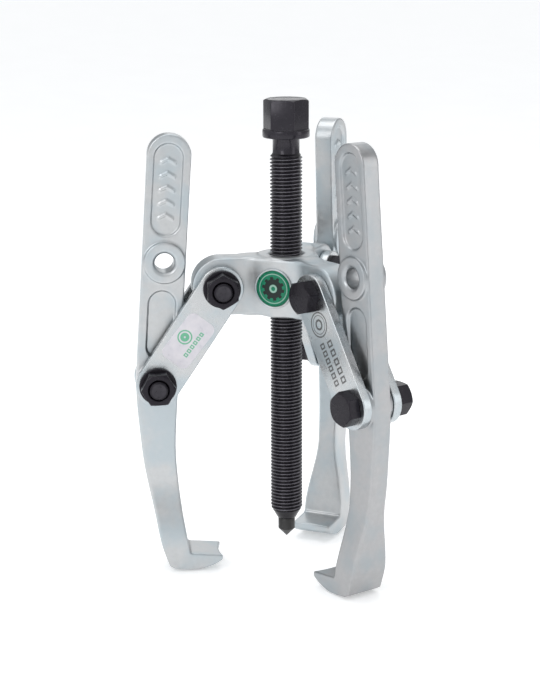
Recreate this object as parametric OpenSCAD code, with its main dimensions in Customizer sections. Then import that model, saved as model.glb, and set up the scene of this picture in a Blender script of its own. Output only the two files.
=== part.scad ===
// Three-arm gear puller: a forged hub carries a pressing screw and three arms.
// Each arm is a pair of flat straps bolted across a hub ear and across a hooked jaw.
// Units are millimetres. Z is the screw's axis, and the origin lies on it where the
// screw point's short cylinder meets its cone.

/* [Screw] */
// Outside diameter of the screw's thread
thread_d = 13.9; // [12:0.1:16]
// Length of the threaded part
thread_length = 156.7; // [130:0.1:170]
// Diameter of the plain neck under the collar
neck_d = 11.4; // [9:0.1:12]
// Length of the plain neck
neck_length = 6.6; // [3:0.1:10]
// Diameter of the round collar under the hexagon
collar_d = 20; // [19.7:0.1:24]
// Height of the collar
collar_height = 3.6; // [2:0.1:6]
// Width across the flats of the driving hexagon
drive_af = 17; // [15:0.5:19]
// Height of the driving hexagon
drive_height = 12.6; // [8:0.1:16]

/* [Screw point] */
// Diameter of the point's visible cylinder
point_d = 7.3; // [6:0.1:9]
// Length of the point's visible cylinder
point_length = 5.1; // [3:0.1:8]
// Diameter of the point's shank inside the screw
shank_d = 5.1; // [4:0.1:5.5]
// Length of the shank inside the screw
shank_length = 10; // [6:0.5:14]

/* [Hub] */
// Distance of each hub bolt from the screw's axis
ear_reach = 28.6; // [26:0.1:34]
// Height of the hub bolts above the origin
ear_z = 111; // [100:0.5:125]
// Radius of each ear about its bolt, and half of the hub's height
ear_radius = 12.25; // [10:0.05:12.5]
// Thickness of each ear
ear_thickness = 11.7; // [10:0.1:12]
// Distance of the flats between the ears from the screw's axis
flat_reach = 13.5; // [12:0.1:14]
// Height of the low round boss on the hub's top and bottom
boss_height = 0.8; // [0.4:0.1:3]
// Radius of that boss at its face
boss_radius = 12; // [10:0.1:12.5]

/* [Straps] */
// Distance between a strap's two bolts
strap_centres = 50; // [46:0.1:54]
// Angle of the straps below the horizontal at rest
strap_fall = 56.2; // [50:0.1:60]
// Width of a strap
strap_width = 18.8; // [17:0.1:20]
// Thickness of a strap
strap_thickness = 4; // [3:0.1:5]

/* [Jaws] */
// Swing of each jaw about its pivot at rest, positive with the top outward
jaw_rest = [0, -1.4, 0.9]; // [-2:0.1:2]
// Thickness of the jaw's arm at its top
arm_thickness = 8.2; // [7:0.1:9]
// Thickness of the jaw's leg below the pivot
leg_thickness = 9; // [8:0.1:11]
// Thickness of the jaw's foot
foot_thickness = 18.2; // [15:0.1:20]
// Radius of the raised bosses around the jaw's holes
jaw_boss_radius = 8.8; // [8:0.1:8.9]
// Depth of the recesses in the jaw's faces
recess_depth = 1; // [0.5:0.1:2]
// Radius of the arc that hollows the hook's tip
tip_hollow = 30.5; // [30:0.1:34]

/* [Fasteners] */
// Nominal diameter of the bolts
bolt_d = 8; // [7.5:0.1:8]
// Width across the flats of bolt heads and nuts
hex_af = 13; // [12:0.5:14]
// Height of a bolt head
head_height = 5.3; // [4:0.1:6]
// Height of a nut
nut_height = 6.5; // [5:0.1:8]
// Outside diameter of a washer
washer_d = 16; // [14:0.5:18]
// Thickness of a washer
washer_thickness = 1.6; // [1:0.1:2]
// Length of bolt that stands out past its nut
bolt_stub = 0.9; // [0.5:0.1:3]

/* [Badge] */
// Diameter of the round badge on the hub's front flat
badge_d = 16.6; // [12:0.2:18]
// Thickness of the badge
badge_thickness = 0.9; // [0.5:0.1:2]

/* [Hidden] */

$fn = 72;
eps = 0.01;

// Clearances: a shaft in its hole, a flat face beside a turning strap, a loose bolt hole
running_gap = 0.05;
side_gap = 0.1;
loose_gap = 0.2;

// Direction of each arm around the screw
arm_azimuth = [180, -60, 60];
badge_azimuth = -120;

// Heights along the screw
end_taper = 5.1;
screw_bottom = point_length + 0.1;
thread_bottom = screw_bottom + end_taper;
thread_top = thread_bottom + thread_length;
collar_bottom = thread_top + neck_length;
drive_bottom = collar_bottom + collar_height;
drive_turn = -17;

// The jaw pivot, in an arm's own plane
pivot_reach = ear_reach + strap_centres * cos(strap_fall);
pivot_z = ear_z - strap_centres * sin(strap_fall);

// The strap stack across an arm
strap_inner = ear_thickness / 2 + side_gap;
strap_outer = strap_inner + strap_thickness;
washer_outer = strap_outer + washer_thickness;
nut_outer = washer_outer + nut_height;

// Turns of the hexagons about their own bolts
hub_nut_turn = 30;
jaw_nut_turn = 2;
hub_head_turn = 16;
jaw_head_turn = 42;

// The jaw, in a plane with its pivot at the origin and its arm pointing up
hole_place = [-4, 52.4];
hole_r = 4.2;
countersink = 1.05;
arm_top = [-6.9, 97.4];
arm_top_radius = 9.35;
arm_lean = 3.9;
recess_half_width = 6.3;
taper_top = 80;
flare_start = -42;
flare_end = -74;
flare_steps = 10;
// Points that the outer edge passes below the pivot, from the arm down to the foot
outer_curve = [[8.6, 6], [8.9, -7], [7.8, -22], [6.1, -38], [2.4, -57], [-0.4, -72], [-3.8, -82.4]];
// Points that the inner edge passes, from the hook up to the arm
inner_curve = [[-11.8, -70], [-10, -59], [-8.3, -44], [-7.5, -29], [-8.6, -8], [-10.6, 15.6]];
// The foot's sole and the hook's nose
sole = [[-6, -83.7], [-15.5, -84.4], [-22, -82.9], [-26, -80.9], [-27.6, -79.6], [-27.6, -78]];
hook_corner = [-12.6, -76.9];

function point_on_arc(centre, r, a) = centre + r * [cos(a), sin(a)];

function arc(centre, r, from, to, steps) =
    [for (i = [0 : steps]) point_on_arc(centre, r, from + (to - from) * i / steps)];

// A smooth curve through the points, with each end point doubled
function curve_point(a, b, c, d, t) =
    0.5 * (2 * b + (c - a) * t + (2 * a - 5 * b + 4 * c - d) * t * t
           + (3 * b - a - 3 * c + d) * t * t * t);

function curve(p, steps) = concat(
    [for (i = [0 : len(p) - 2]) for (k = [0 : steps - 1])
        curve_point(p[max(i - 1, 0)], p[i], p[i + 1], p[min(i + 2, len(p) - 1)], k / steps)],
    [p[len(p) - 1]]);

function ease(t) = t * t * (3 - 2 * t);

function flare_half(t) = (leg_thickness + (foot_thickness - leg_thickness) * ease(t)) / 2;

// Places its children in an arm's frame: X outward, Y to the nut side, Z up
module on_arm(i) {
    rotate([0, 0, arm_azimuth[i - 1]]) children();
}

// Turns a shape drawn along Z so that it runs along an arm's Y, at (reach, height)
module across(reach, height) {
    translate([reach, 0, height]) rotate([-90, 0, 0]) children();
}

// Places its children in a jaw's plane, with Y across the jaw
module on_jaw(i) {
    on_arm(i) translate([pivot_reach, 0, pivot_z]) rotate([0, jaw_rest[i - 1], 0]) children();
}

// A hexagonal prism whose corners are chamfered at the top, and at the bottom if asked
module hexagon(af, height, turn, both_ends = false) {
    r = af / sqrt(3);
    chamfer = r - af / 2 + 0.15;
    rise = chamfer * tan(30);
    intersection() {
        rotate([0, 0, turn]) cylinder(r = r, h = height, $fn = 6);
        union() {
            translate([0, 0, both_ends ? rise - eps : 0])
                cylinder(r = r + 1, h = height - rise * (both_ends ? 2 : 1) + 2 * eps);
            translate([0, 0, height - rise]) cylinder(r1 = r, r2 = r - chamfer, h = rise);
            if (both_ends) cylinder(r1 = r - chamfer, r2 = r, h = rise);
        }
    }
}

module screw() {
    color([0.2, 0.19, 0.21]) difference() {
        union() {
            translate([0, 0, screw_bottom])
                cylinder(d1 = point_d + 0.6, d2 = thread_d, h = end_taper);
            translate([0, 0, thread_bottom]) cylinder(d = thread_d, h = thread_length);
            translate([0, 0, thread_top - eps]) cylinder(d = neck_d, h = neck_length + 2 * eps);
            translate([0, 0, collar_bottom]) cylinder(d = collar_d, h = collar_height);
            translate([0, 0, drive_bottom - eps]) hexagon(drive_af, drive_height + eps, drive_turn);
        }
        translate([0, 0, screw_bottom - 1])
            cylinder(d = shank_d + 2 * running_gap, h = shank_length + 1.5);
    }
}

module screw_point() {
    color([0.42, 0.42, 0.43]) union() {
        translate([0, 0, -point_d / 2]) cylinder(d1 = 0.4, d2 = point_d, h = point_d / 2);
        cylinder(d = point_d, h = point_length);
        translate([0, 0, point_length - eps]) cylinder(d = shank_d, h = shank_length);
    }
}

module hub_ear(i) {
    on_arm(i) {
        translate([0, -ear_thickness / 2, ear_z - ear_radius])
            cube([ear_reach, ear_thickness, 2 * ear_radius]);
        across(ear_reach, ear_z)
            cylinder(r = ear_radius, h = ear_thickness, center = true);
    }
}

module hub() {
    bore_r = thread_d / 2 + running_gap;
    face = ear_radius + boss_height;
    color([0.72, 0.74, 0.75]) difference() {
        union() {
            // The three flats meet the ears' faces as a triangle's sides would
            translate([0, 0, ear_z - ear_radius])
                rotate([0, 0, 60]) cylinder(r = 2 * flat_reach, h = 2 * ear_radius, $fn = 3);
            for (i = [1 : 3]) hub_ear(i);
            for (side = [0, 1]) translate([0, 0, ear_z]) mirror([0, 0, side])
                translate([0, 0, ear_radius - eps])
                    cylinder(r1 = boss_radius + 1.2, r2 = boss_radius, h = boss_height + eps);
        }
        translate([0, 0, ear_z]) cylinder(r = bore_r, h = 4 * ear_radius, center = true);
        for (side = [0, 1]) translate([0, 0, ear_z]) mirror([0, 0, side])
            translate([0, 0, face - 1])
                cylinder(r1 = bore_r, r2 = bore_r + 1.1, h = 1.1);
        for (i = [1 : 3]) on_arm(i) across(ear_reach, ear_z)
            cylinder(r = bolt_d / 2 + running_gap, h = 2 * ear_thickness, center = true);
    }
}

module badge() {
    color([0.1, 0.5, 0.35]) rotate([0, 0, badge_azimuth])
        translate([flat_reach, 0, ear_z]) rotate([0, 90, 0])
            cylinder(d = badge_d, h = badge_thickness);
}

// A flat strap with round ends; side is +1 on the nut side and -1 on the head side
module strap(i, side) {
    color([0.74, 0.77, 0.78]) on_arm(i)
        translate([ear_reach, side * (strap_inner + strap_thickness / 2), ear_z])
            rotate([0, strap_fall, 0]) rotate([90, 0, 0]) difference() {
                union() {
                    translate([strap_centres / 2, 0, 0])
                        cube([strap_centres, strap_width, strap_thickness], center = true);
                    for (x = [0, strap_centres]) translate([x, 0, 0])
                        cylinder(d = strap_width, h = strap_thickness, center = true);
                }
                for (x = [0, strap_centres]) translate([x, 0, 0])
                    cylinder(d = bolt_d + 2 * loose_gap, h = 2 * strap_thickness, center = true);
            }
}

// The jaw's side outline: round top, arm, curved leg, and foot with an inward hook
module jaw_outline() {
    polygon(concat(
        arc(arm_top, arm_top_radius, 180 - arm_lean, -arm_lean, 24),
        curve(outer_curve, 4),
        curve(sole, 3),
        arc(hook_corner + [-1.6, 1.6], 1.6, 270, 360, 5),
        curve(inner_curve, 4)));
}

// The jaw's outline seen from the screw: a plain arm that flares into the foot
module jaw_front() {
    side = [for (k = [0 : flare_steps])
        [flare_half(k / flare_steps), flare_start + (flare_end - flare_start) * k / flare_steps]];
    arm = [[arm_thickness / 2, 110], [arm_thickness / 2, taper_top], [leg_thickness / 2, 0]];
    right = concat(arm, side, [[foot_thickness / 2, -90]]);
    left = [for (k = [len(right) - 1 : -1 : 0]) [-right[k][0], right[k][1]]];
    polygon(concat(right, left));
}

// A round-ended slot along the arm, between two heights on its middle line
module arm_slot(low, high, half_width, depth) {
    rotate([0, 0, arm_lean]) {
        for (y = [low, high]) translate([0, y, 0]) cylinder(r = half_width, h = depth);
        translate([-half_width, low, 0]) cube([2 * half_width, high - low, depth]);
    }
}

// Both recesses of one face, kept clear of the two raised bosses
module jaw_recesses() {
    difference() {
        union() {
            arm_slot(70.2, 97, recess_half_width, 10);
            translate([-0.3, 0, 0]) arm_slot(16, 34.4, recess_half_width - 0.3, 10);
        }
        for (c = [[0, 0], hole_place]) translate([c[0], c[1], -1])
            cylinder(r = jaw_boss_radius + 0.7, h = 12);
    }
}

module jaw(i) {
    color([0.73, 0.76, 0.77]) on_jaw(i) rotate([90, 0, 0]) difference() {
        union() {
            intersection() {
                linear_extrude(foot_thickness, center = true) jaw_outline();
                translate([-35, 0, 0]) rotate([0, 90, 0]) linear_extrude(60) jaw_front();
            }
            for (c = [[0, 0], hole_place]) translate([c[0], c[1], 0])
                cylinder(r = jaw_boss_radius, h = ear_thickness, center = true);
        }
        translate([-pivot_reach, -80, 0]) rotate([90, 0, 0])
            cylinder(r = tip_hollow, h = 20, center = true, $fn = 144);
        cylinder(r = bolt_d / 2 + running_gap, h = 2 * foot_thickness, center = true);
        translate([hole_place[0], hole_place[1], 0])
            cylinder(r = hole_r, h = 2 * foot_thickness, center = true);
        for (side = [0, 1]) mirror([0, 0, side]) {
            translate([hole_place[0], hole_place[1], ear_thickness / 2 - countersink + eps])
                cylinder(r1 = hole_r, r2 = hole_r + countersink, h = countersink);
            translate([0, 0, arm_thickness / 2 - recess_depth]) jaw_recesses();
        }
    }
}

module hex_bolt(i, reach, height, turn) {
    color([0.2, 0.19, 0.22]) on_arm(i) {
        across(reach, height) translate([0, 0, -strap_outer])
            cylinder(d = bolt_d, h = strap_outer + nut_outer + bolt_stub);
        across(reach, height) translate([0, 0, -strap_outer])
            rotate([180, 0, 0]) hexagon(hex_af, head_height, turn);
    }
}

module washer(i, reach, height) {
    color([0.22, 0.21, 0.24]) on_arm(i) across(reach, height)
        translate([0, 0, strap_outer]) difference() {
            cylinder(d = washer_d, h = washer_thickness);
            translate([0, 0, -1]) cylinder(d = bolt_d + 2 * loose_gap, h = washer_thickness + 2);
        }
}

module hex_nut(i, reach, height, turn) {
    hole = bolt_d / 2 + 0.02;
    color([0.2, 0.19, 0.22]) on_arm(i) across(reach, height)
        translate([0, 0, washer_outer]) difference() {
            hexagon(hex_af, nut_height, turn, both_ends = true);
            translate([0, 0, -1]) cylinder(r = hole, h = nut_height + 2);
            translate([0, 0, nut_height - 0.7]) cylinder(r1 = hole, r2 = hole + 0.71, h = 0.71);
        }
}

module strap_nut_side(i) { strap(i, 1); }
module strap_head_side(i) { strap(i, -1); }
module hub_bolt(i) { hex_bolt(i, ear_reach, ear_z, hub_head_turn); }
module jaw_bolt(i) { hex_bolt(i, pivot_reach, pivot_z, jaw_head_turn); }
module hub_washer(i) { washer(i, ear_reach, ear_z); }
module jaw_washer(i) { washer(i, pivot_reach, pivot_z); }
module hub_nut(i) { hex_nut(i, ear_reach, ear_z, hub_nut_turn); }
module jaw_nut(i) { hex_nut(i, pivot_reach, pivot_z, jaw_nut_turn); }

screw();
screw_point();
hub();
badge();
for (i = [1 : 3]) {
    strap_nut_side(i);
    strap_head_side(i);
    jaw(i);
    hub_bolt(i);
    hub_washer(i);
    hub_nut(i);
    jaw_bolt(i);
    jaw_washer(i);
    jaw_nut(i);
}
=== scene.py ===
"""Looks for the gear puller: forged zinc-plated hub and jaws, plated flat straps, black
screw and fasteners. Shapes are worked out in millimetres in the CAD's own frame."""
import math

import bpy
import numpy as np
from mathutils import Matrix, Vector


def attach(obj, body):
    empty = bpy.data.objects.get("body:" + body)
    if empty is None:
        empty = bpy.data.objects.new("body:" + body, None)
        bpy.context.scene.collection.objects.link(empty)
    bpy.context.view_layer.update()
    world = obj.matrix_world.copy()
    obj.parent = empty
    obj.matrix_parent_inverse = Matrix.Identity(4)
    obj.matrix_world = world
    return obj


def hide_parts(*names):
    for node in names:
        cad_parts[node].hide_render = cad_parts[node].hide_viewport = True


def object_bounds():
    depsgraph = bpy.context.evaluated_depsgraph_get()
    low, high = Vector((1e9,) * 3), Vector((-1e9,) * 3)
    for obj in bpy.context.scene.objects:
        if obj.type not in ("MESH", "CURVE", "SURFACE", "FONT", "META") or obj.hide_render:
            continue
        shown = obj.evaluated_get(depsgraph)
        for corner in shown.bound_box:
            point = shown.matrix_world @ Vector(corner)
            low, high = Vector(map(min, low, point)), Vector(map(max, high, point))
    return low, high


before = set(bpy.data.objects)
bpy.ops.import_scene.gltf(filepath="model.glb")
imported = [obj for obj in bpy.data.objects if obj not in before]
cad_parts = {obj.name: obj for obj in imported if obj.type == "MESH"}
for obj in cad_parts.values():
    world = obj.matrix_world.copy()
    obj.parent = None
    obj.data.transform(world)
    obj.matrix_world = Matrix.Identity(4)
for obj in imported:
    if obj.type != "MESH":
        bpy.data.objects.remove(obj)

cad_box = [list(corner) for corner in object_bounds()]
MM = 0.001

# ---------------------------------------------------------------- sizes, as in the CAD
PITCH = 1.5
THREAD_R, ROOT_R = 6.93, 6.05
SCREW_BOTTOM, THREAD_TOP = 5.2, 167.0
COLLAR_BOTTOM, DRIVE_BOTTOM, HEAD_TOP = 173.6, 177.2, 189.8
NECK_R, COLLAR_R, DRIVE_AF, DRIVE_TURN = 5.7, 10.0, 17.0, -17
POINT_R, POINT_LENGTH, SHANK_R, SHANK_TOP = 3.65, 5.1, 2.55, 15.1
EAR_REACH, EAR_Z, EAR_R, EAR_T, FLAT_REACH = 28.6, 111.0, 12.25, 11.7, 13.5
BOSS_R, BOSS_H, BORE_R = 12.0, 0.8, 7.0
STRAP_CENTRES, STRAP_FALL, STRAP_W, STRAP_T = 50.0, math.radians(56.2), 18.8, 4.0
STRAP_INNER = EAR_T / 2 + 0.1
STRAP_OUTER = STRAP_INNER + STRAP_T
WASHER_T, WASHER_R = 1.6, 8.0
NUT_BASE = STRAP_OUTER + WASHER_T
NUT_H, HEAD_H, HEX_AF, BOLT_R, STUB = 6.5, 5.3, 13.0, 4.0, 0.9
BOLT_HOLE_R, STRAP_HOLE_R = 4.05, 4.2
# Where the flats of each joint's nut and head stand, in degrees
HUB_NUT_TURN, HUB_HEAD_TURN, JAW_NUT_TURN, JAW_HEAD_TURN = 30, 16, 2, 42
ARM_T, LEG_T, FOOT_T, JAW_BOSS_R = 8.2, 9.0, 18.2, 8.8
ARM_AZIMUTH = {1: 180, 2: -60, 3: 60}
JAW_REST = {1: 0.0, 2: -1.4, 3: 0.9}
BADGE_AZIMUTH, BADGE_R, FACE_R = -120, 8.3, 7.75
PIVOT_REACH = EAR_REACH + STRAP_CENTRES * math.cos(STRAP_FALL)
PIVOT_Z = EAR_Z - STRAP_CENTRES * math.sin(STRAP_FALL)
HOLE = (-4.0, 52.4)
HOLE_R, COUNTERSINK = 4.2, 1.05
ARM_TOP, ARM_TOP_R, ARM_LEAN = (-6.9, 97.4), 9.35, 3.9
TAPER_TOP, FLARE_START, FLARE_END, CLAW_HOLLOW_R = 80, -42, -74, 30.5
UPPER_RECESS, LOWER_RECESS = (70.2, 97, 6.3), (16, 34.4, 6.0, -0.3)
CHEVRONS, CHEVRON_START, CHEVRON_PITCH = 5, 73.0, 5.9


# ---------------------------------------------------------------- materials
class Nodes:
    """A node tree, with short calls that add nodes to it."""

    def __init__(self, tree):
        self.tree = tree

    def node(self, kind, inputs=None, **settings):
        made = self.tree.nodes.new("ShaderNode" + kind)
        for key, value in settings.items():
            setattr(made, key, value)
        for key, value in (inputs or {}).items():
            if isinstance(value, bpy.types.NodeSocket):
                self.tree.links.new(value, made.inputs[key])
            else:
                made.inputs[key].default_value = value
        return made

    def math(self, operation, a, b=0.0):
        return self.node("Math", {0: a, 1: b}, operation=operation).outputs[0]

    def times(self, *values):
        made = values[0]
        for value in values[1:]:
            made = self.math("MULTIPLY", made, value)
        return made

    def most(self, *values):
        made = values[0]
        for value in values[1:]:
            made = self.math("MAXIMUM", made, value)
        return made

    def spread(self, value, low, high, to_low=0.0, to_high=1.0):
        """Maps value from low..high to to_low..to_high, clamped."""
        return self.node("MapRange", {"Value": value, "From Min": low, "From Max": high,
                                      "To Min": to_low, "To Max": to_high}).outputs[0]

    def mix(self, factor, a, b):
        made = self.node("Mix", data_type="RGBA")
        for socket, value in ((0, factor), (6, a), (7, b)):
            if isinstance(value, bpy.types.NodeSocket):
                self.tree.links.new(value, made.inputs[socket])
            elif socket:
                made.inputs[socket].default_value = (*value, 1)
            else:
                made.inputs[socket].default_value = value
        return made.outputs[2]


class Paint(Nodes):
    """A procedural material around a Principled shader. Places are in the piece's own frame."""

    def __init__(self, name, **sockets):
        self.material = bpy.data.materials.new(name)
        self.material.use_nodes = True
        super().__init__(self.material.node_tree)
        self.shader = self.tree.nodes["Principled BSDF"]
        for key, value in sockets.items():
            self.shader.inputs[key.replace("_", " ")].default_value = value

    def place(self):
        return self.node("TexCoord").outputs["Object"]

    def noise(self, size_mm, detail=4.0, rough=0.55, stretch=(1, 1, 1)):
        """Noise whose features are about size_mm across."""
        scaled = self.node("Mapping", {"Vector": self.place(), "Scale": stretch})
        return self.node("TexNoise", {"Vector": scaled.outputs[0], "Scale": 1 / (size_mm * MM),
                                      "Detail": detail, "Roughness": rough}).outputs[0]

    def millimetres(self):
        """The three coordinates of the place, in millimetres."""
        split = self.node("SeparateXYZ", {0: self.place()})
        return [self.math("MULTIPLY", split.outputs[k], 1 / MM) for k in range(3)]

    def set(self, socket, value):
        self.tree.links.new(value, self.shader.inputs[socket])

    def bump(self, height, depth_mm, strength=1.0, below=None):
        inputs = {"Height": height, "Distance": depth_mm * MM, "Strength": strength}
        if below:
            inputs["Normal"] = below
        made = self.node("Bump", inputs).outputs[0]
        self.set("Normal", made)
        return made


def zinc(name, tone, tint, rough, grain_mm, grain_depth, stretch=(1, 1, 1), marks=None):
    """Satin zinc plating: cloudy grey with a cool tint, over a finely pitted surface. Marks is a
    function that gives one where the surface is stamped dark."""
    p = Paint(name, Metallic=1.0)
    cloud = p.noise(16, 3)
    mottle = p.noise(2.4, 5, 0.6)
    fine = p.noise(grain_mm, 3, 0.6, stretch)
    base = p.mix(p.spread(mottle, 0.3, 0.7), [c * 0.9 for c in tone], tone)
    base = p.mix(p.spread(cloud, 0.42, 0.62, 0.0, 0.6), base, tint)
    if marks:
        base = p.mix(marks(p), base, STAMP_DARK)
    p.set("Base Color", base)
    uneven = p.math("ADD", mottle, p.times(cloud, 0.8))
    p.set("Roughness", p.spread(uneven, 0.6, 1.2, rough - 0.06, rough + 0.08))
    p.bump(fine, grain_depth, 0.6, p.bump(mottle, grain_depth * 0.8, 0.5))
    return p


def polar(p, x, y, cx=0.0, cy=0.0):
    """Distance of (x, y) from (cx, cy)."""
    dx, dy = p.math("SUBTRACT", x, cx), p.math("SUBTRACT", y, cy)
    return p.math("SQRT", p.math("ADD", p.times(dx, dx), p.times(dy, dy)))


def band(p, value, centre, half, soft=0.08):
    """One where value is within half of centre, and zero elsewhere."""
    off = p.math("ABSOLUTE", p.math("SUBTRACT", value, centre))
    return p.spread(off, half - soft, half + soft, 1, 0)


def boxes(p, x, y, start, count, row, pitch, width, height, stroke):
    """A row of plain box outlines along x from start, at y = row."""
    step = p.math("FRACT", p.math("DIVIDE", p.math("SUBTRACT", x, start), pitch))
    across = p.times(p.math("ABSOLUTE", p.math("SUBTRACT", step, 0.5)), pitch)
    up = p.math("ABSOLUTE", p.math("SUBTRACT", y, row))
    out = p.most(p.math("SUBTRACT", across, width / 2), p.math("SUBTRACT", up, height / 2))
    half_length = count * pitch / 2
    within = band(p, x, start + half_length, half_length, 0.02)
    return p.times(band(p, out, -stroke / 2, stroke / 2), within)


def strap_stamp(p):
    """A plain ring stamp and two rows of empty boxes, on the strap's outer face only."""
    x, y, z = p.millimetres()
    r = polar(p, x, y, STAMP_PLACE)
    rings = p.most(band(p, r, 5.1, 0.28), band(p, r, 3.9, 0.16), band(p, r, 1.9, 0.45))
    rows = p.most(boxes(p, x, y, 20.4, 5, 2.4, 4.0, 2.9, 3.2, 0.75),
                  boxes(p, x, y, 19.8, 6, -2.7, 3.3, 2.5, 2.9, 0.7))
    worn = p.spread(p.noise(0.5, 3), 0.3, 0.5, 0.55, 0.9)
    return p.times(p.most(rings, rows), worn, p.math("GREATER_THAN", z, STRAP_T / 2 - 0.3))


STAMP_PLACE, STAMP_DARK = 12.8, (0.075, 0.072, 0.07)
ZINC_TONE, ZINC_TINT = (0.545, 0.555, 0.56), (0.42, 0.495, 0.535)
# A darker, bluer tone of the forged zinc: painted shade for jaw 2, which stands on the darker right side.
SHADED_JAW_TONE, SHADED_JAW_TINT = (0.43, 0.43, 0.435), (0.34, 0.385, 0.41)
ROLLED = (0.3, 1.5, 1)
FORGED = zinc("forged_zinc", ZINC_TONE, ZINC_TINT, 0.34, 0.4, 0.022)
# The forged zinc again with the darker tone: painted shade, used for jaw 2 only.
FORGED_SHADED = zinc("forged_zinc_painted_shade", SHADED_JAW_TONE, SHADED_JAW_TINT, 0.34, 0.4, 0.022)
HUB_ZINC = zinc("hub_zinc", ZINC_TONE, ZINC_TINT, 0.42, 0.4, 0.016)
STRAP_ZINC = zinc("strap_zinc", ZINC_TONE, ZINC_TINT, 0.27, 0.35, 0.009, ROLLED)
STRAP_STAMPED = zinc("strap_zinc_stamped", ZINC_TONE, ZINC_TINT, 0.27, 0.35, 0.009, ROLLED, strap_stamp)


def black_oxide(name, tone, rough, grain_mm, crest=None, bare=None):
    """Blackened steel: nearly black, a little purple, with worn paler specks. On a thread whose
    outside radius is crest millimetres, the crests are painted paler, partly polish and partly
    painted highlight, and the roots nearly black as painted shade. A bolt's cut end, beyond bare
    millimetres along its axis, is paler."""
    p = Paint(name, Metallic=0.45, Specular_IOR_Level=0.35 if bare else 0.5)
    mottle = p.noise(1.6, 5, 0.65)
    fine = p.noise(grain_mm, 3, 0.6)
    worn = p.spread(mottle, 0.58, 0.78, 0.0, 0.5)
    base = p.mix(worn, tone, [c * 2.2 for c in tone])
    if crest:
        x, y, z = p.millimetres()
        out = polar(p, x, y)
        threaded = p.math("LESS_THAN", z, THREAD_TOP)
        # The thread crests painted paler: partly polish, partly painted highlight.
        tip = p.times(p.spread(out, crest - 0.45, crest - 0.05), threaded,
                      p.spread(mottle, 0.3, 0.6, 0.6, 1.0))
        # Painted shade: the thread roots darkened to nearly black.
        root_shade = p.times(p.spread(out, crest - 0.85, crest - 0.5, 0.8, 0), threaded)
        base = p.mix(root_shade, p.mix(tip, base, (0.115, 0.11, 0.125)), (0.005, 0.004, 0.006))
    if bare:
        x, y, z = p.millimetres()
        cut = p.times(p.math("GREATER_THAN", z, bare), p.spread(polar(p, x, y), 3.3, 3.0),
                      p.spread(mottle, 0.3, 0.7, 0.4, 1.0))
        base = p.mix(cut, base, (0.045, 0.042, 0.05))
    p.set("Base Color", base)
    p.set("Roughness", p.spread(mottle, 0.3, 0.7, rough - 0.07, rough + 0.09))
    p.bump(fine, 0.012, 0.5)
    return p


SCREW_BLACK = black_oxide("screw_black", (0.020, 0.0175, 0.024), 0.22, 0.3, THREAD_R)
BOLT_BLACK = black_oxide("fastener_black", (0.013, 0.011, 0.016), 0.30, 0.35, bare=NUT_BASE + NUT_H)
POINT_STEEL = black_oxide("point_steel", (0.036, 0.035, 0.035), 0.42, 0.3)


# ---------------------------------------------------------------- mesh helpers
def to_object(name, mesh, matrix=None):
    obj = bpy.data.objects.new(name, mesh)
    bpy.context.scene.collection.objects.link(obj)
    if matrix is not None:
        obj.matrix_world = matrix
    return obj


def to_mesh(name, verts_mm, faces):
    mesh = bpy.data.meshes.new(name)
    mesh.from_pydata((np.asarray(verts_mm) * MM).tolist(), [], faces)
    mesh.validate()
    mesh.polygons.foreach_set("use_smooth", [True] * len(mesh.polygons))
    mesh.update()
    return mesh


def weigh_normals(obj):
    modifier = obj.modifiers.new("even_flats", "WEIGHTED_NORMAL")
    modifier.mode = "FACE_AREA"
    modifier.weight = 60


def finish_piece(obj, paint, body, slot, *nodes):
    obj.data.materials.clear()
    obj.data.materials.append(paint.material)
    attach(obj, body)
    if nodes:
        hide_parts(*nodes)


# Angles of a turned part's columns within each sixth of a turn, close together at a hexagon's corner
SIXTH = (0, 1, 2, 6, 12, 18, 24, 30, 36, 42, 48, 54, 58, 59)
COLUMNS = np.radians([60 * k + a for k in range(6) for a in SIXTH])


def hex_radius(af, rounding=0.45):
    """The radius of a hexagon with rounded corners, at each column."""
    phi = np.abs((COLUMNS + math.pi / 6) % (math.pi / 3) - math.pi / 6)
    centre = (af / 2 - rounding) / math.cos(math.pi / 6)
    touch = math.atan2(rounding * 0.5, centre + rounding * math.cos(math.pi / 6))
    flat = af / 2 / np.cos(math.pi / 6 - phi)
    arc = centre * np.cos(phi) + np.sqrt(np.maximum(rounding ** 2 - (centre * np.sin(phi)) ** 2, 0))
    return np.where(phi < touch, arc, flat)


def turned(name, rows, turn=0.0, closed=False):
    """A part turned about Z from rows of (radius, height), each a number or one value a column.
    Rows run from the bottom pole up the outside; a closed part joins its last row to its first."""
    n = len(COLUMNS)
    angles = COLUMNS + math.radians(turn)
    verts, rings = [], []
    for radius, height in rows:
        if np.isscalar(radius) and radius == 0:
            rings.append([len(verts)])
            verts.append((0, 0, height))
            continue
        r = np.broadcast_to(radius, n)
        z = np.broadcast_to(height, n)
        rings.append(list(range(len(verts), len(verts) + n)))
        verts.extend(zip(r * np.cos(angles), r * np.sin(angles), z))
    pairs = list(zip(rings, rings[1:])) + ([(rings[-1], rings[0])] if closed else [])
    faces = []
    for low, high in pairs:
        for k in range(n):
            m = (k + 1) % n
            if len(low) == 1:
                faces.append((low[0], high[m], high[k]))
            elif len(high) == 1:
                faces.append((low[k], low[m], high[0]))
            else:
                faces.append((low[k], low[m], high[m], high[k]))
    return to_mesh(name, verts, faces)


def hex_rows(af, low, high, both_ends=False):
    """The outside of a hexagon from its low face to its high one, chamfered as the CAD's is."""
    radius = hex_radius(af)
    flat_r = af / 2 - 0.15
    drop = (radius - flat_r) * math.tan(math.pi / 6)
    soft = 0.16
    top = [(radius, high - drop - soft), (radius - soft, high - drop + soft * 0.6),
           (flat_r + 0.05, high - 0.08), (flat_r - 0.15, high)]
    if both_ends:
        bottom = [(r, low + high - z) for r, z in reversed(top)]
    else:
        bottom = [(radius - soft, low), (radius, low + soft)]
    return bottom + top


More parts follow.
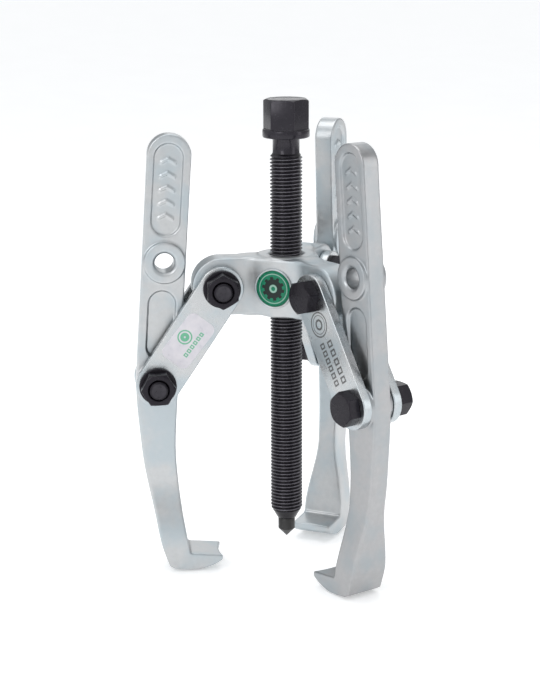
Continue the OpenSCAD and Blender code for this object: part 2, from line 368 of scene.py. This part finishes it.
def arm_matrix(i, reach, height):
    """From a part along Z to one across arm i, whose Z then points to the nut's side."""
    return (Matrix.Rotation(math.radians(ARM_AZIMUTH[i]), 4, "Z")
            @ Matrix.Translation(Vector((reach, 0, height)) * MM)
            @ Matrix.Rotation(-math.pi / 2, 4, "X"))


# ---------------------------------------------------------------- distance fields
def round_max(a, b, radius):
    """The overlap of two solids, with the edge between them rounded."""
    a, b = a + radius, b + radius
    return np.minimum(np.maximum(a, b), 0) + np.hypot(np.maximum(a, 0), np.maximum(b, 0)) - radius


def smooth_min(a, b, width):
    """The union of two solids, with a fillet between them."""
    h = np.maximum(width - np.abs(a - b), 0) / width
    return np.minimum(a, b) - h * h * width / 4


def ease(t):
    t = np.clip(t, 0, 1)
    return t * t * (3 - 2 * t)


def polygon_distance(x, y, points):
    """Signed distance from each point to a closed outline, negative inside."""
    best = np.full(np.broadcast(x, y).shape, 1e9)
    inside = np.zeros(best.shape, bool)
    for (ax, ay), (bx, by) in zip(points, points[1:] + points[:1]):
        ex, ey = bx - ax, by - ay
        length = ex * ex + ey * ey
        if length < 1e-12:
            continue
        t = np.clip(((x - ax) * ex + (y - ay) * ey) / length, 0, 1)
        best = np.minimum(best, (x - ax - t * ex) ** 2 + (y - ay - t * ey) ** 2)
        if ay != by:
            inside ^= ((ay > y) != (by > y)) & (x < ex * (y - ay) / ey + ax)
    return np.where(inside, -1, 1) * np.sqrt(best)


def samples(low, high, step):
    return np.arange(low, high + step, step)


def look_up(field, p):
    """Value and gradient of a sampled field at points given in grid steps."""
    i = np.clip(np.floor(p).astype(int), 0, np.array(field.shape) - 2)
    f = p - i
    c = [[[field[i[:, 0] + a, i[:, 1] + b, i[:, 2] + d] for d in (0, 1)] for b in (0, 1)] for a in (0, 1)]
    u, v, w = f.T
    along_w = [[c[a][b][0] * (1 - w) + c[a][b][1] * w for b in (0, 1)] for a in (0, 1)]
    low, high = (along_w[a][0] * (1 - v) + along_w[a][1] * v for a in (0, 1))
    gv = (1 - u) * (along_w[0][1] - along_w[0][0]) + u * (along_w[1][1] - along_w[1][0])
    steep = [[c[a][b][1] - c[a][b][0] for b in (0, 1)] for a in (0, 1)]
    gw = ((1 - u) * ((1 - v) * steep[0][0] + v * steep[0][1])
          + u * ((1 - v) * steep[1][0] + v * steep[1][1]))
    return low * (1 - u) + high * u, np.stack([high - low, gv, gw], 1)


def surface(name, field, xs, ys, zs):
    """The closed surface where a sampled field is zero, as quads that lie on it."""
    inside = field < 0
    size = np.array(field.shape)
    corners = [(a, b, c) for a in (0, 1) for b in (0, 1) for c in (0, 1)]
    count = sum(inside[a:size[0] - 1 + a, b:size[1] - 1 + b, c:size[2] - 1 + c].astype(np.int8)
                for a, b, c in corners)
    mixed = (count > 0) & (count < 8)
    cells = np.argwhere(mixed)
    number = np.full(mixed.shape, -1)
    number[mixed] = np.arange(len(cells))
    total, hits = np.zeros((len(cells), 3)), np.zeros(len(cells))
    for start in corners:
        for axis in range(3):
            if start[axis]:
                continue
            end = list(start)
            end[axis] = 1
            fa, fb = (field[tuple((cells + np.array(corner)).T)] for corner in (start, end))
            crossed = (fa < 0) != (fb < 0)
            t = fa[crossed] / (fa[crossed] - fb[crossed])
            place = np.tile(np.array(start, float), (crossed.sum(), 1))
            place[:, axis] = t
            total[crossed] += place
            hits[crossed] += 1
    points = cells + total / hits[:, None]
    for _ in range(3):
        value, slope = look_up(field, points)
        move = -slope * (value / np.maximum((slope ** 2).sum(1), 1e-9))[:, None]
        points = np.clip(points + np.clip(move, -0.4, 0.4), cells - 0.1, cells + 1.1)
    faces = []
    for axis in range(3):
        b, c = (axis + 1) % 3, (axis + 2) % 3
        first = np.take(inside, range(size[axis] - 1), axis)
        change = np.argwhere(first != np.take(inside, range(1, size[axis]), axis))
        change = change[(change[:, b] > 0) & (change[:, c] > 0)]
        steps = np.zeros((4, 3), int)
        steps[[0, 3], b] = -1
        steps[[0, 1], c] = -1
        quads = np.stack([number[tuple((change + s).T)] for s in steps], 1)
        outward = first[tuple(change.T)]
        quads[~outward] = quads[~outward][:, ::-1]
        faces.append(quads[(quads >= 0).all(1)])
    scale = [s[1] - s[0] for s in (xs, ys, zs)]
    verts = np.array([xs[0], ys[0], zs[0]]) + points * scale
    return to_mesh(name, verts, np.concatenate(faces).tolist())


# ---------------------------------------------------------------- the jaws
def arc(centre, radius, start, end, steps):
    angles = [math.radians(start + (end - start) * k / steps) for k in range(steps + 1)]
    return [(centre[0] + radius * math.cos(a), centre[1] + radius * math.sin(a)) for a in angles]


def curve(points, steps):
    p = np.array(points, float)
    out = []
    for i in range(len(p) - 1):
        a, b, c, d = p[max(i - 1, 0)], p[i], p[i + 1], p[min(i + 2, len(p) - 1)]
        for k in range(steps):
            t = k / steps
            out.append(tuple(0.5 * (2 * b + (c - a) * t + (2 * a - 5 * b + 4 * c - d) * t * t
                                    + (3 * b - a - 3 * c + d) * t ** 3)))
    return out + [tuple(p[-1])]


OUTER = [(8.6, 6), (8.9, -7), (7.8, -22), (6.1, -38), (2.4, -57), (-0.4, -72), (-3.8, -82.4)]
INNER = [(-11.8, -70), (-10, -59), (-8.3, -44), (-7.5, -29), (-8.6, -8), (-10.6, 15.6)]
SOLE = [(-6, -83.7), (-15.5, -84.4), (-22, -82.9), (-26, -80.9), (-27.6, -79.6), (-27.6, -78)]
OUTLINE = (arc(ARM_TOP, ARM_TOP_R, 180 - ARM_LEAN, -ARM_LEAN, 24) + curve(OUTER, 4) + curve(SOLE, 3)
           + arc((-14.2, -75.3), 1.6, 270, 360, 5) + curve(INNER, 4))


def slot_distance(u, v, low, high, half_width, shift=0.0):
    """Distance to a round-ended slot that lies along the leaning arm."""
    lean = math.radians(ARM_LEAN)
    a = (u - shift) * math.cos(lean) + v * math.sin(lean)
    b = -(u - shift) * math.sin(lean) + v * math.cos(lean)
    return np.hypot(a, b - np.clip(b, low, high)) - half_width, a, b


def jaw_mesh(step):
    us, ws, vs = samples(-29.5, 11, step), samples(-9.6, 9.6, step), samples(-86.5, 108.7, step)
    u, v = us[:, None], vs[None, :]
    edge = polygon_distance(u, v, OUTLINE)
    taper = (LEG_T - ARM_T) * np.clip(1 - v / TAPER_TOP, 0, 1)
    flare = (FOOT_T - LEG_T) * ease((FLARE_START - v) / (FLARE_START - FLARE_END))
    half = (ARM_T + taper + flare) / 2
    pivot_r, hole_r = np.hypot(u, v), np.hypot(u - HOLE[0], v - HOLE[1])
    boss_r = np.minimum(pivot_r, hole_r) - JAW_BOSS_R
    upper, a, b = slot_distance(u, v, *UPPER_RECESS)
    lower = slot_distance(u, v, *LOWER_RECESS)[0]
    sunk = np.maximum(np.minimum(upper, lower), 0.7 - boss_r)
    half = half - (half - ARM_T / 2 + 1) * ease(-sunk / 0.8 + 0.3)
    for k in range(CHEVRONS):
        along = b - CHEVRON_START - CHEVRON_PITCH * k + 0.55 * np.abs(a)
        bar = np.hypot(np.maximum(np.abs(a) - 2.9, 0), np.maximum(np.abs(along) - 0.25, 0))
        half = half + 0.5 * ease((0.7 - bar) / 0.45)
    soft = 0.6 + 0.4 * ease((8 - v) / 30) - 0.45 * ease((-66 - v) / 8)
    tip = np.hypot((us + PIVOT_REACH)[:, None], ws[None, :]) - CLAW_HOLLOW_R
    field = np.empty((len(us), len(ws), len(vs)))
    for k, w in enumerate(np.abs(ws)):
        solid = round_max(edge, w - half, soft)
        boss = round_max(boss_r, np.full_like(boss_r, w - EAR_T / 2), 0.35)
        solid = smooth_min(solid, boss, 0.9)
        open_r = HOLE_R + max(w - (EAR_T / 2 - COUNTERSINK), 0)
        solid = round_max(solid, (open_r - hole_r) * 0.9, 0.3)
        solid = round_max(solid, BOLT_HOLE_R - pivot_r, 0.3)
        hollow = np.where(v < -68, -tip[:, k][:, None], -1e3)
        field[:, k, :] = round_max(solid, hollow, 0.5)
    return surface("jaw", field, us, ws, vs)


jaw = jaw_mesh(0.4)
for i in ARM_AZIMUTH:
    turn = (Matrix.Rotation(math.radians(ARM_AZIMUTH[i]), 4, "Z")
            @ Matrix.Translation(Vector((PIVOT_REACH, 0, PIVOT_Z)) * MM)
            @ Matrix.Rotation(math.radians(JAW_REST[i]), 4, "Y"))
    piece = to_object(f"jaw_forging_{i}", jaw.copy(), turn)
    # Jaw 2 takes the darker copy of the zinc: painted shade for the jaw on the side away from the key light.
    finish_piece(piece, FORGED_SHADED if i == 2 else FORGED, f"jaw_{i}", "zinc_steel", f"jaw_{i}")


# ---------------------------------------------------------------- the hub
def hub_mesh(step):
    xs, ys = samples(-43, 29, step), samples(-40, 40, step)
    zs = samples(-14.5, 14.5, step)
    x, y, z = xs[:, None, None], ys[None, :, None], zs[None, None, :]
    flats = np.full((len(xs), len(ys), 1), -1e3)
    ears = np.full((len(xs), len(ys), len(zs)), 1e3)
    bolts = np.full((len(xs), len(ys), len(zs)), -1e3)
    for azimuth in ARM_AZIMUTH.values():
        c, s = math.cos(math.radians(azimuth)), math.sin(math.radians(azimuth))
        reach, across = x * c + y * s, -x * s + y * c
        flats = np.maximum(flats, -reach - FLAT_REACH)
        side = np.hypot(np.maximum(reach - EAR_REACH, 0), z) - EAR_R
        ear = round_max(np.abs(across) - EAR_T / 2, np.maximum(side, -reach - 2), 0.75)
        ears = np.minimum(ears, ear)
        bolts = np.maximum(bolts, BOLT_HOLE_R - np.hypot(reach - EAR_REACH, z))
    body = round_max(flats + 0 * z, np.abs(z) - EAR_R, 0.75)
    solid = smooth_min(body, ears, 1.6)
    axis = np.hypot(x, y)
    boss = round_max(axis - BOSS_R - 1.1 * np.clip((EAR_R + BOSS_H - np.abs(z)) / BOSS_H, 0, 1),
                     np.abs(z) - EAR_R - BOSS_H, 0.3)
    solid = smooth_min(solid, boss, 0.9)
    bore = BORE_R + np.maximum(np.abs(z) - (EAR_R + BOSS_H - 1.0), 0) - axis
    solid = round_max(solid, bore, 0.25)
    return surface("hub", round_max(solid, bolts, 0.3), xs, ys, zs)


hub = hub_mesh(0.45)
finish_piece(to_object("hub_forging", hub, Matrix.Translation((0, 0, EAR_Z * MM))),
             HUB_ZINC, "hub", "zinc_steel", "hub")


# ---------------------------------------------------------------- the straps
def plate(name, outlines, thickness, bevel):
    """A flat plate with bevelled edges; the first outline is its rim and the others are holes."""
    data = bpy.data.curves.new(name, "CURVE")
    data.dimensions = "2D"
    data.fill_mode = "BOTH"
    for points in outlines:
        spline = data.splines.new("POLY")
        spline.points.add(len(points) - 1)
        spline.points.foreach_set("co", [c for px, py in points for c in (px * MM, py * MM, 0, 1)])
        spline.use_cyclic_u = True
    data.extrude = (thickness / 2 - bevel) * MM
    data.bevel_depth = bevel * MM
    data.bevel_resolution = 2
    data.offset = -bevel * MM
    flat = bpy.data.objects.new(name, data)
    bpy.context.scene.collection.objects.link(flat)
    bpy.context.view_layer.update()
    mesh = bpy.data.meshes.new_from_object(flat.evaluated_get(bpy.context.evaluated_depsgraph_get()))
    bpy.data.objects.remove(flat)
    mesh.polygons.foreach_set("use_smooth", [True] * len(mesh.polygons))
    return mesh


def strap_matrix(i, across):
    """From a plate in XY to arm i: its X runs from the hub bolt to the jaw bolt."""
    return (Matrix.Rotation(math.radians(ARM_AZIMUTH[i]), 4, "Z")
            @ Matrix.Translation(Vector((EAR_REACH, across, EAR_Z)) * MM)
            @ Matrix.Rotation(STRAP_FALL, 4, "Y") @ Matrix.Rotation(math.pi / 2, 4, "X"))


def circle(centre, radius, count=64):
    return arc(centre, radius, 0, 360 - 360 / count, count - 1)


def stadium(length, radius, steps=32):
    return arc((length, 0), radius, -90, 90, steps) + arc((0, 0), radius, 90, 270, steps)


strap = plate("strap", [stadium(STRAP_CENTRES, STRAP_W / 2), circle((0, 0), STRAP_HOLE_R),
                        circle((STRAP_CENTRES, 0), STRAP_HOLE_R)], STRAP_T, 0.4)
for i in ARM_AZIMUTH:
    for side, word in ((1, "nut"), (-1, "head")):
        turn = strap_matrix(i, side * (STRAP_INNER + STRAP_T / 2))
        piece = to_object(f"strap_plate_{i}_{word}_side", strap.copy(), turn)
        weigh_normals(piece)
        paint = STRAP_STAMPED if (i, side) == (2, -1) else STRAP_ZINC
        finish_piece(piece, paint, f"straps_{i}", "zinc_steel", f"strap_{i}_{word}_side")


def label_paint():
    """A pale label with a plain green ring and a row of small green boxes."""
    p = Paint("label_film", Roughness=0.3)
    x, y, _ = p.millimetres()
    r = polar(p, x, y, -0.5, 2.2)
    ink = p.most(band(p, r, 2.9, 0.3), band(p, r, 1.2, 0.75),
                 boxes(p, x, y, -6.6, 6, -2.9, 2.2, 1.6, 1.8, 0.5))
    cloud = p.noise(5, 2)
    film = p.mix(p.spread(cloud, 0.35, 0.65), (0.60, 0.585, 0.63), (0.68, 0.655, 0.69))
    p.set("Base Color", p.mix(p.times(ink, 0.85), film, (0.05, 0.40, 0.20)))
    p.set("Roughness", p.spread(cloud, 0.3, 0.7, 0.24, 0.4))
    return p


def rounded_box(length, width, radius, steps=8):
    corners = ((1, -1, -90), (1, 1, 0), (-1, 1, 90), (-1, -1, 180))
    return [q for sx, sy, a in corners
            for q in arc((sx * (length / 2 - radius), sy * (width / 2 - radius)), radius, a, a + 90, steps)]


LABEL_SIZE, LABEL_CORNER, LABEL_T, LABEL_PLACE, LABEL_LEAN = (23, 13.5), 3, 0.16, (26.5, -0.2, 0), 4
label_turn = (strap_matrix(1, STRAP_OUTER) @ Matrix.Translation(Vector(LABEL_PLACE) * MM)
              @ Matrix.Rotation(math.radians(LABEL_LEAN), 4, "Z"))
label = to_object("strap_label", plate("label", [rounded_box(*LABEL_SIZE, LABEL_CORNER)], LABEL_T, 0.05),
                  label_turn)
weigh_normals(label)
finish_piece(label, label_paint(), "straps_1", "badge_enamel")


# ---------------------------------------------------------------- bolts, washers and nuts
end = NUT_BASE + NUT_H + STUB
for joint, reach, height, nut_turn, head_turn in (
        ("hub", EAR_REACH, EAR_Z, HUB_NUT_TURN, HUB_HEAD_TURN),
        ("jaw", PIVOT_REACH, PIVOT_Z, JAW_NUT_TURN, JAW_HEAD_TURN)):
    head = [(r, -STRAP_OUTER - z) for r, z in reversed(hex_rows(HEX_AF, 0, HEAD_H))]
    bolt = turned(f"{joint}_bolt", [(0, -STRAP_OUTER - HEAD_H)] + head
                  + [(BOLT_R, -STRAP_OUTER), (BOLT_R, end - 0.75), (BOLT_R - 0.2, end - 0.5),
                     (3.35, end - 0.05), (3.1, end), (2.7, end - 0.12), (0, end - 0.25)], -head_turn)
    washer = turned(f"{joint}_washer",
                    [(4.2, 0.2), (4.4, 0), (WASHER_R - 0.25, 0), (WASHER_R, 0.25),
                     (WASHER_R, WASHER_T - 0.4), (WASHER_R - 0.12, WASHER_T - 0.12),
                     (WASHER_R - 0.4, WASHER_T), (4.4, WASHER_T), (4.2, WASHER_T - 0.2)], closed=True)
    nut = turned(f"{joint}_nut",
                 [(4.02, 0.7), (4.7, 0.02)] + hex_rows(HEX_AF, 0, NUT_H, True)
                 + [(4.85, NUT_H), (4.7, NUT_H - 0.06), (4.02, NUT_H - 0.75)], nut_turn, True)
    for i in ARM_AZIMUTH:
        for word, mesh, lift in (("bolt", bolt, 0), ("washer", washer, STRAP_OUTER), ("nut", nut, NUT_BASE)):
            turn = arm_matrix(i, reach, height) @ Matrix.Translation((0, 0, lift * MM))
            piece = to_object(f"{joint}_{word}_steel_{i}", mesh.copy(), turn)
            weigh_normals(piece)
            finish_piece(piece, BOLT_BLACK, f"straps_{i}", "black_oxide", f"{joint}_{word}_{i}")


# ---------------------------------------------------------------- the screw and its point
def thread_radius(height):
    """The radius of a right-hand 60 degree thread at each column of a row."""
    phase = (height / PITCH - COLUMNS / (2 * math.pi)) % 1.0
    climb = np.abs(phase - 0.5) * 2
    return ROOT_R + (THREAD_R - ROOT_R) * np.clip((climb - 0.22) / 0.62, 0, 1)


def screw_rows():
    rows = [(0, SHANK_TOP + 0.9), (SHANK_R + 0.05, SHANK_TOP + 0.8), (SHANK_R + 0.05, SCREW_BOTTOM + 0.2),
            (SHANK_R + 0.25, SCREW_BOTTOM), (POINT_R + 0.05, SCREW_BOTTOM)]
    step = PITCH / 8
    count = round((THREAD_TOP - SCREW_BOTTOM) / step)
    for k in range(1, count):
        z = SCREW_BOTTOM + k * step
        bound = POINT_R + 0.35 + (z - SCREW_BOTTOM) / 5.1 * (THREAD_R - POINT_R - 0.3)
        out = NECK_R + (THREAD_TOP - z) * 0.8
        rows.append((np.minimum(thread_radius(z), min(bound, max(out, NECK_R))), z))
    rows += [(NECK_R, THREAD_TOP), (NECK_R, COLLAR_BOTTOM - 0.35), (NECK_R + 0.35, COLLAR_BOTTOM)]
    rows += [(COLLAR_R - 0.6, COLLAR_BOTTOM), (COLLAR_R - 0.18, COLLAR_BOTTOM + 0.18),
             (COLLAR_R, COLLAR_BOTTOM + 0.6), (COLLAR_R, DRIVE_BOTTOM - 0.6),
             (COLLAR_R - 0.18, DRIVE_BOTTOM - 0.18), (COLLAR_R - 0.6, DRIVE_BOTTOM)]
    head = hex_rows(DRIVE_AF, DRIVE_BOTTOM, HEAD_TOP)
    return rows + [(head[1][0], DRIVE_BOTTOM), (head[1][0], DRIVE_BOTTOM + 0.3)] + head[2:] + [(0, HEAD_TOP)]


screw = to_object("screw_body", turned("screw", screw_rows(), DRIVE_TURN))
finish_piece(screw, SCREW_BLACK, "screw", "black_oxide", "screw")
point = turned("point",
               [(0, -POINT_R), (0.35, -POINT_R + 0.25), (POINT_R - 0.25, -0.25), (POINT_R - 0.04, -0.04),
                (POINT_R, 0.15), (POINT_R, POINT_LENGTH - 0.2), (POINT_R - 0.2, POINT_LENGTH),
                (SHANK_R, POINT_LENGTH), (SHANK_R, SHANK_TOP), (0, SHANK_TOP)])
finish_piece(to_object("point_tip", point), POINT_STEEL, "screw_point", "point_steel", "screw_point")


# ---------------------------------------------------------------- the badge
COG_TEETH = 10


def badge_paint():
    """Green enamel with pale rings around a plain dark cog."""
    p = Paint("badge_enamel", Roughness=0.3, Specular_IOR_Level=0.3)
    x, y, _ = p.millimetres()
    radius = polar(p, x, y)
    teeth = p.spread(p.math("SINE", p.times(p.math("ARCTAN2", y, x), COG_TEETH)), -0.25, 0.25, 4.1, 5.1)
    cog = p.times(p.math("LESS_THAN", radius, teeth), p.math("GREATER_THAN", radius, 1.8))
    rings = p.most(band(p, radius, 6.3, 0.2), band(p, radius, 1.35, 0.4, 0.1))
    speck = p.noise(0.7, 3)
    green = p.mix(p.spread(speck, 0.35, 0.65), (0.003, 0.13, 0.065), (0.008, 0.22, 0.115))
    base = p.mix(cog, green, (0.010, 0.018, 0.016))
    p.set("Base Color", p.mix(rings, base, (0.28, 0.46, 0.38)))
    p.set("Roughness", p.spread(speck, 0.3, 0.7, 0.3, 0.5))
    p.bump(p.math("ADD", cog, rings), 0.08, 0.6)
    return p


badge_turn = (Matrix.Rotation(math.radians(BADGE_AZIMUTH), 4, "Z")
              @ Matrix.Translation(Vector((FLAT_REACH, 0, EAR_Z)) * MM)
              @ Matrix.Rotation(math.pi / 2, 4, "Y"))
face = turned("badge_face", [(0, 0), (FACE_R, 0), (FACE_R, 0.5), (5, 0.56), (0, 0.6)])
finish_piece(to_object("badge_face", face, badge_turn), badge_paint(), "hub", "badge_enamel", "badge")
rim = turned("badge_rim",
             [(FACE_R - 0.05, 0), (BADGE_R + 0.3, 0), (BADGE_R + 0.3, 0.55), (BADGE_R + 0.1, 0.8),
              (BADGE_R - 0.1, 0.85), (FACE_R, 0.6)], closed=True)
finish_piece(to_object("badge_rim", rim, badge_turn), HUB_ZINC, "hub", "zinc_steel")


# ---------------------------------------------------------------- floor, light and camera
def floor_paint():
    p = Paint("pale_floor", Roughness=0.6, Emission_Color=(1, 1, 1, 1), Emission_Strength=0.3)
    p.set("Base Color", p.mix(p.spread(p.noise(60, 2), 0.4, 0.6), (0.93, 0.93, 0.93), (0.95, 0.95, 0.95)))
    return p


FLOOR_HALF = 6.0
floor_z = cad_box[0][2] - 0.4 * MM
corners = [(-FLOOR_HALF, -FLOOR_HALF), (FLOOR_HALF, -FLOOR_HALF), (FLOOR_HALF, FLOOR_HALF),
           (-FLOOR_HALF, FLOOR_HALF)]
floor_mesh = bpy.data.meshes.new("floor")
floor_mesh.from_pydata([(*corner, floor_z) for corner in corners], [], [(0, 1, 2, 3)])
floor = to_object("floor", floor_mesh)
floor.data.materials.append(floor_paint().material)


def studio():
    """A pale room: brighter on the left, with a grey back wall behind the object."""
    world = bpy.data.worlds.new("studio")
    world.use_nodes = True
    p = Nodes(world.node_tree)
    split = p.node("SeparateXYZ", {0: p.node("TexCoord").outputs["Generated"]})
    x, y, z = (split.outputs[k] for k in range(3))
    side = p.mix(p.spread(x, -0.8, 0.8), (0.94, 0.96, 0.98), (0.60, 0.61, 0.62))
    wall = p.times(p.spread(y, 0.35, 0.75), p.spread(z, 0.75, 0.45), 0.7)
    p.tree.links.new(p.mix(wall, side, (0.24, 0.25, 0.26)),
                     p.tree.nodes["Background"].inputs["Color"])
    bpy.context.scene.world = world


studio()


def softbox(name, place, size, power, target=(0, 0, 0.09)):
    light = bpy.data.lights.new(name, "AREA")
    light.shape = "RECTANGLE"
    light.size, light.size_y = size
    light.energy = power
    obj = bpy.data.objects.new(name, light)
    bpy.context.scene.collection.objects.link(obj)
    obj.location = place
    obj.rotation_euler = (Vector(target) - Vector(place)).to_track_quat("-Z", "Y").to_euler()


softbox("key", (-0.75, -0.85, 0.75), (0.5, 0.7), 3.0)
softbox("fill", (0.95, -0.5, 0.45), (0.4, 0.8), 1.5)
softbox("top", (0.0, 0.15, 1.1), (0.9, 0.7), 3.0)
softbox("back", (0.35, 1.0, 0.6), (0.9, 0.6), 1.5)

bpy.context.scene.view_settings.view_transform = "Standard"

camera = bpy.data.cameras.new("camera")
camera.lens, camera.sensor_width, camera.shift_x = 92.28, 36, 0.0429
camera.clip_start, camera.clip_end = 0.05, 50
view = bpy.data.objects.new("camera", camera)
bpy.context.scene.collection.objects.link(view)
CAMERA_PLACE, CAMERA_HEADING = (-0.0899, -0.7502, 0.2688), math.atan2(0.0925, 0.9957)
CAMERA_TILT, CAMERA_ROLL = math.radians(90 - 13.941), math.radians(-0.463)
view.matrix_world = (Matrix.Translation(CAMERA_PLACE) @ Matrix.Rotation(-CAMERA_HEADING, 4, "Z")
                     @ Matrix.Rotation(CAMERA_TILT, 4, "X") @ Matrix.Rotation(CAMERA_ROLL, 4, "Z"))
bpy.context.scene.camera = view
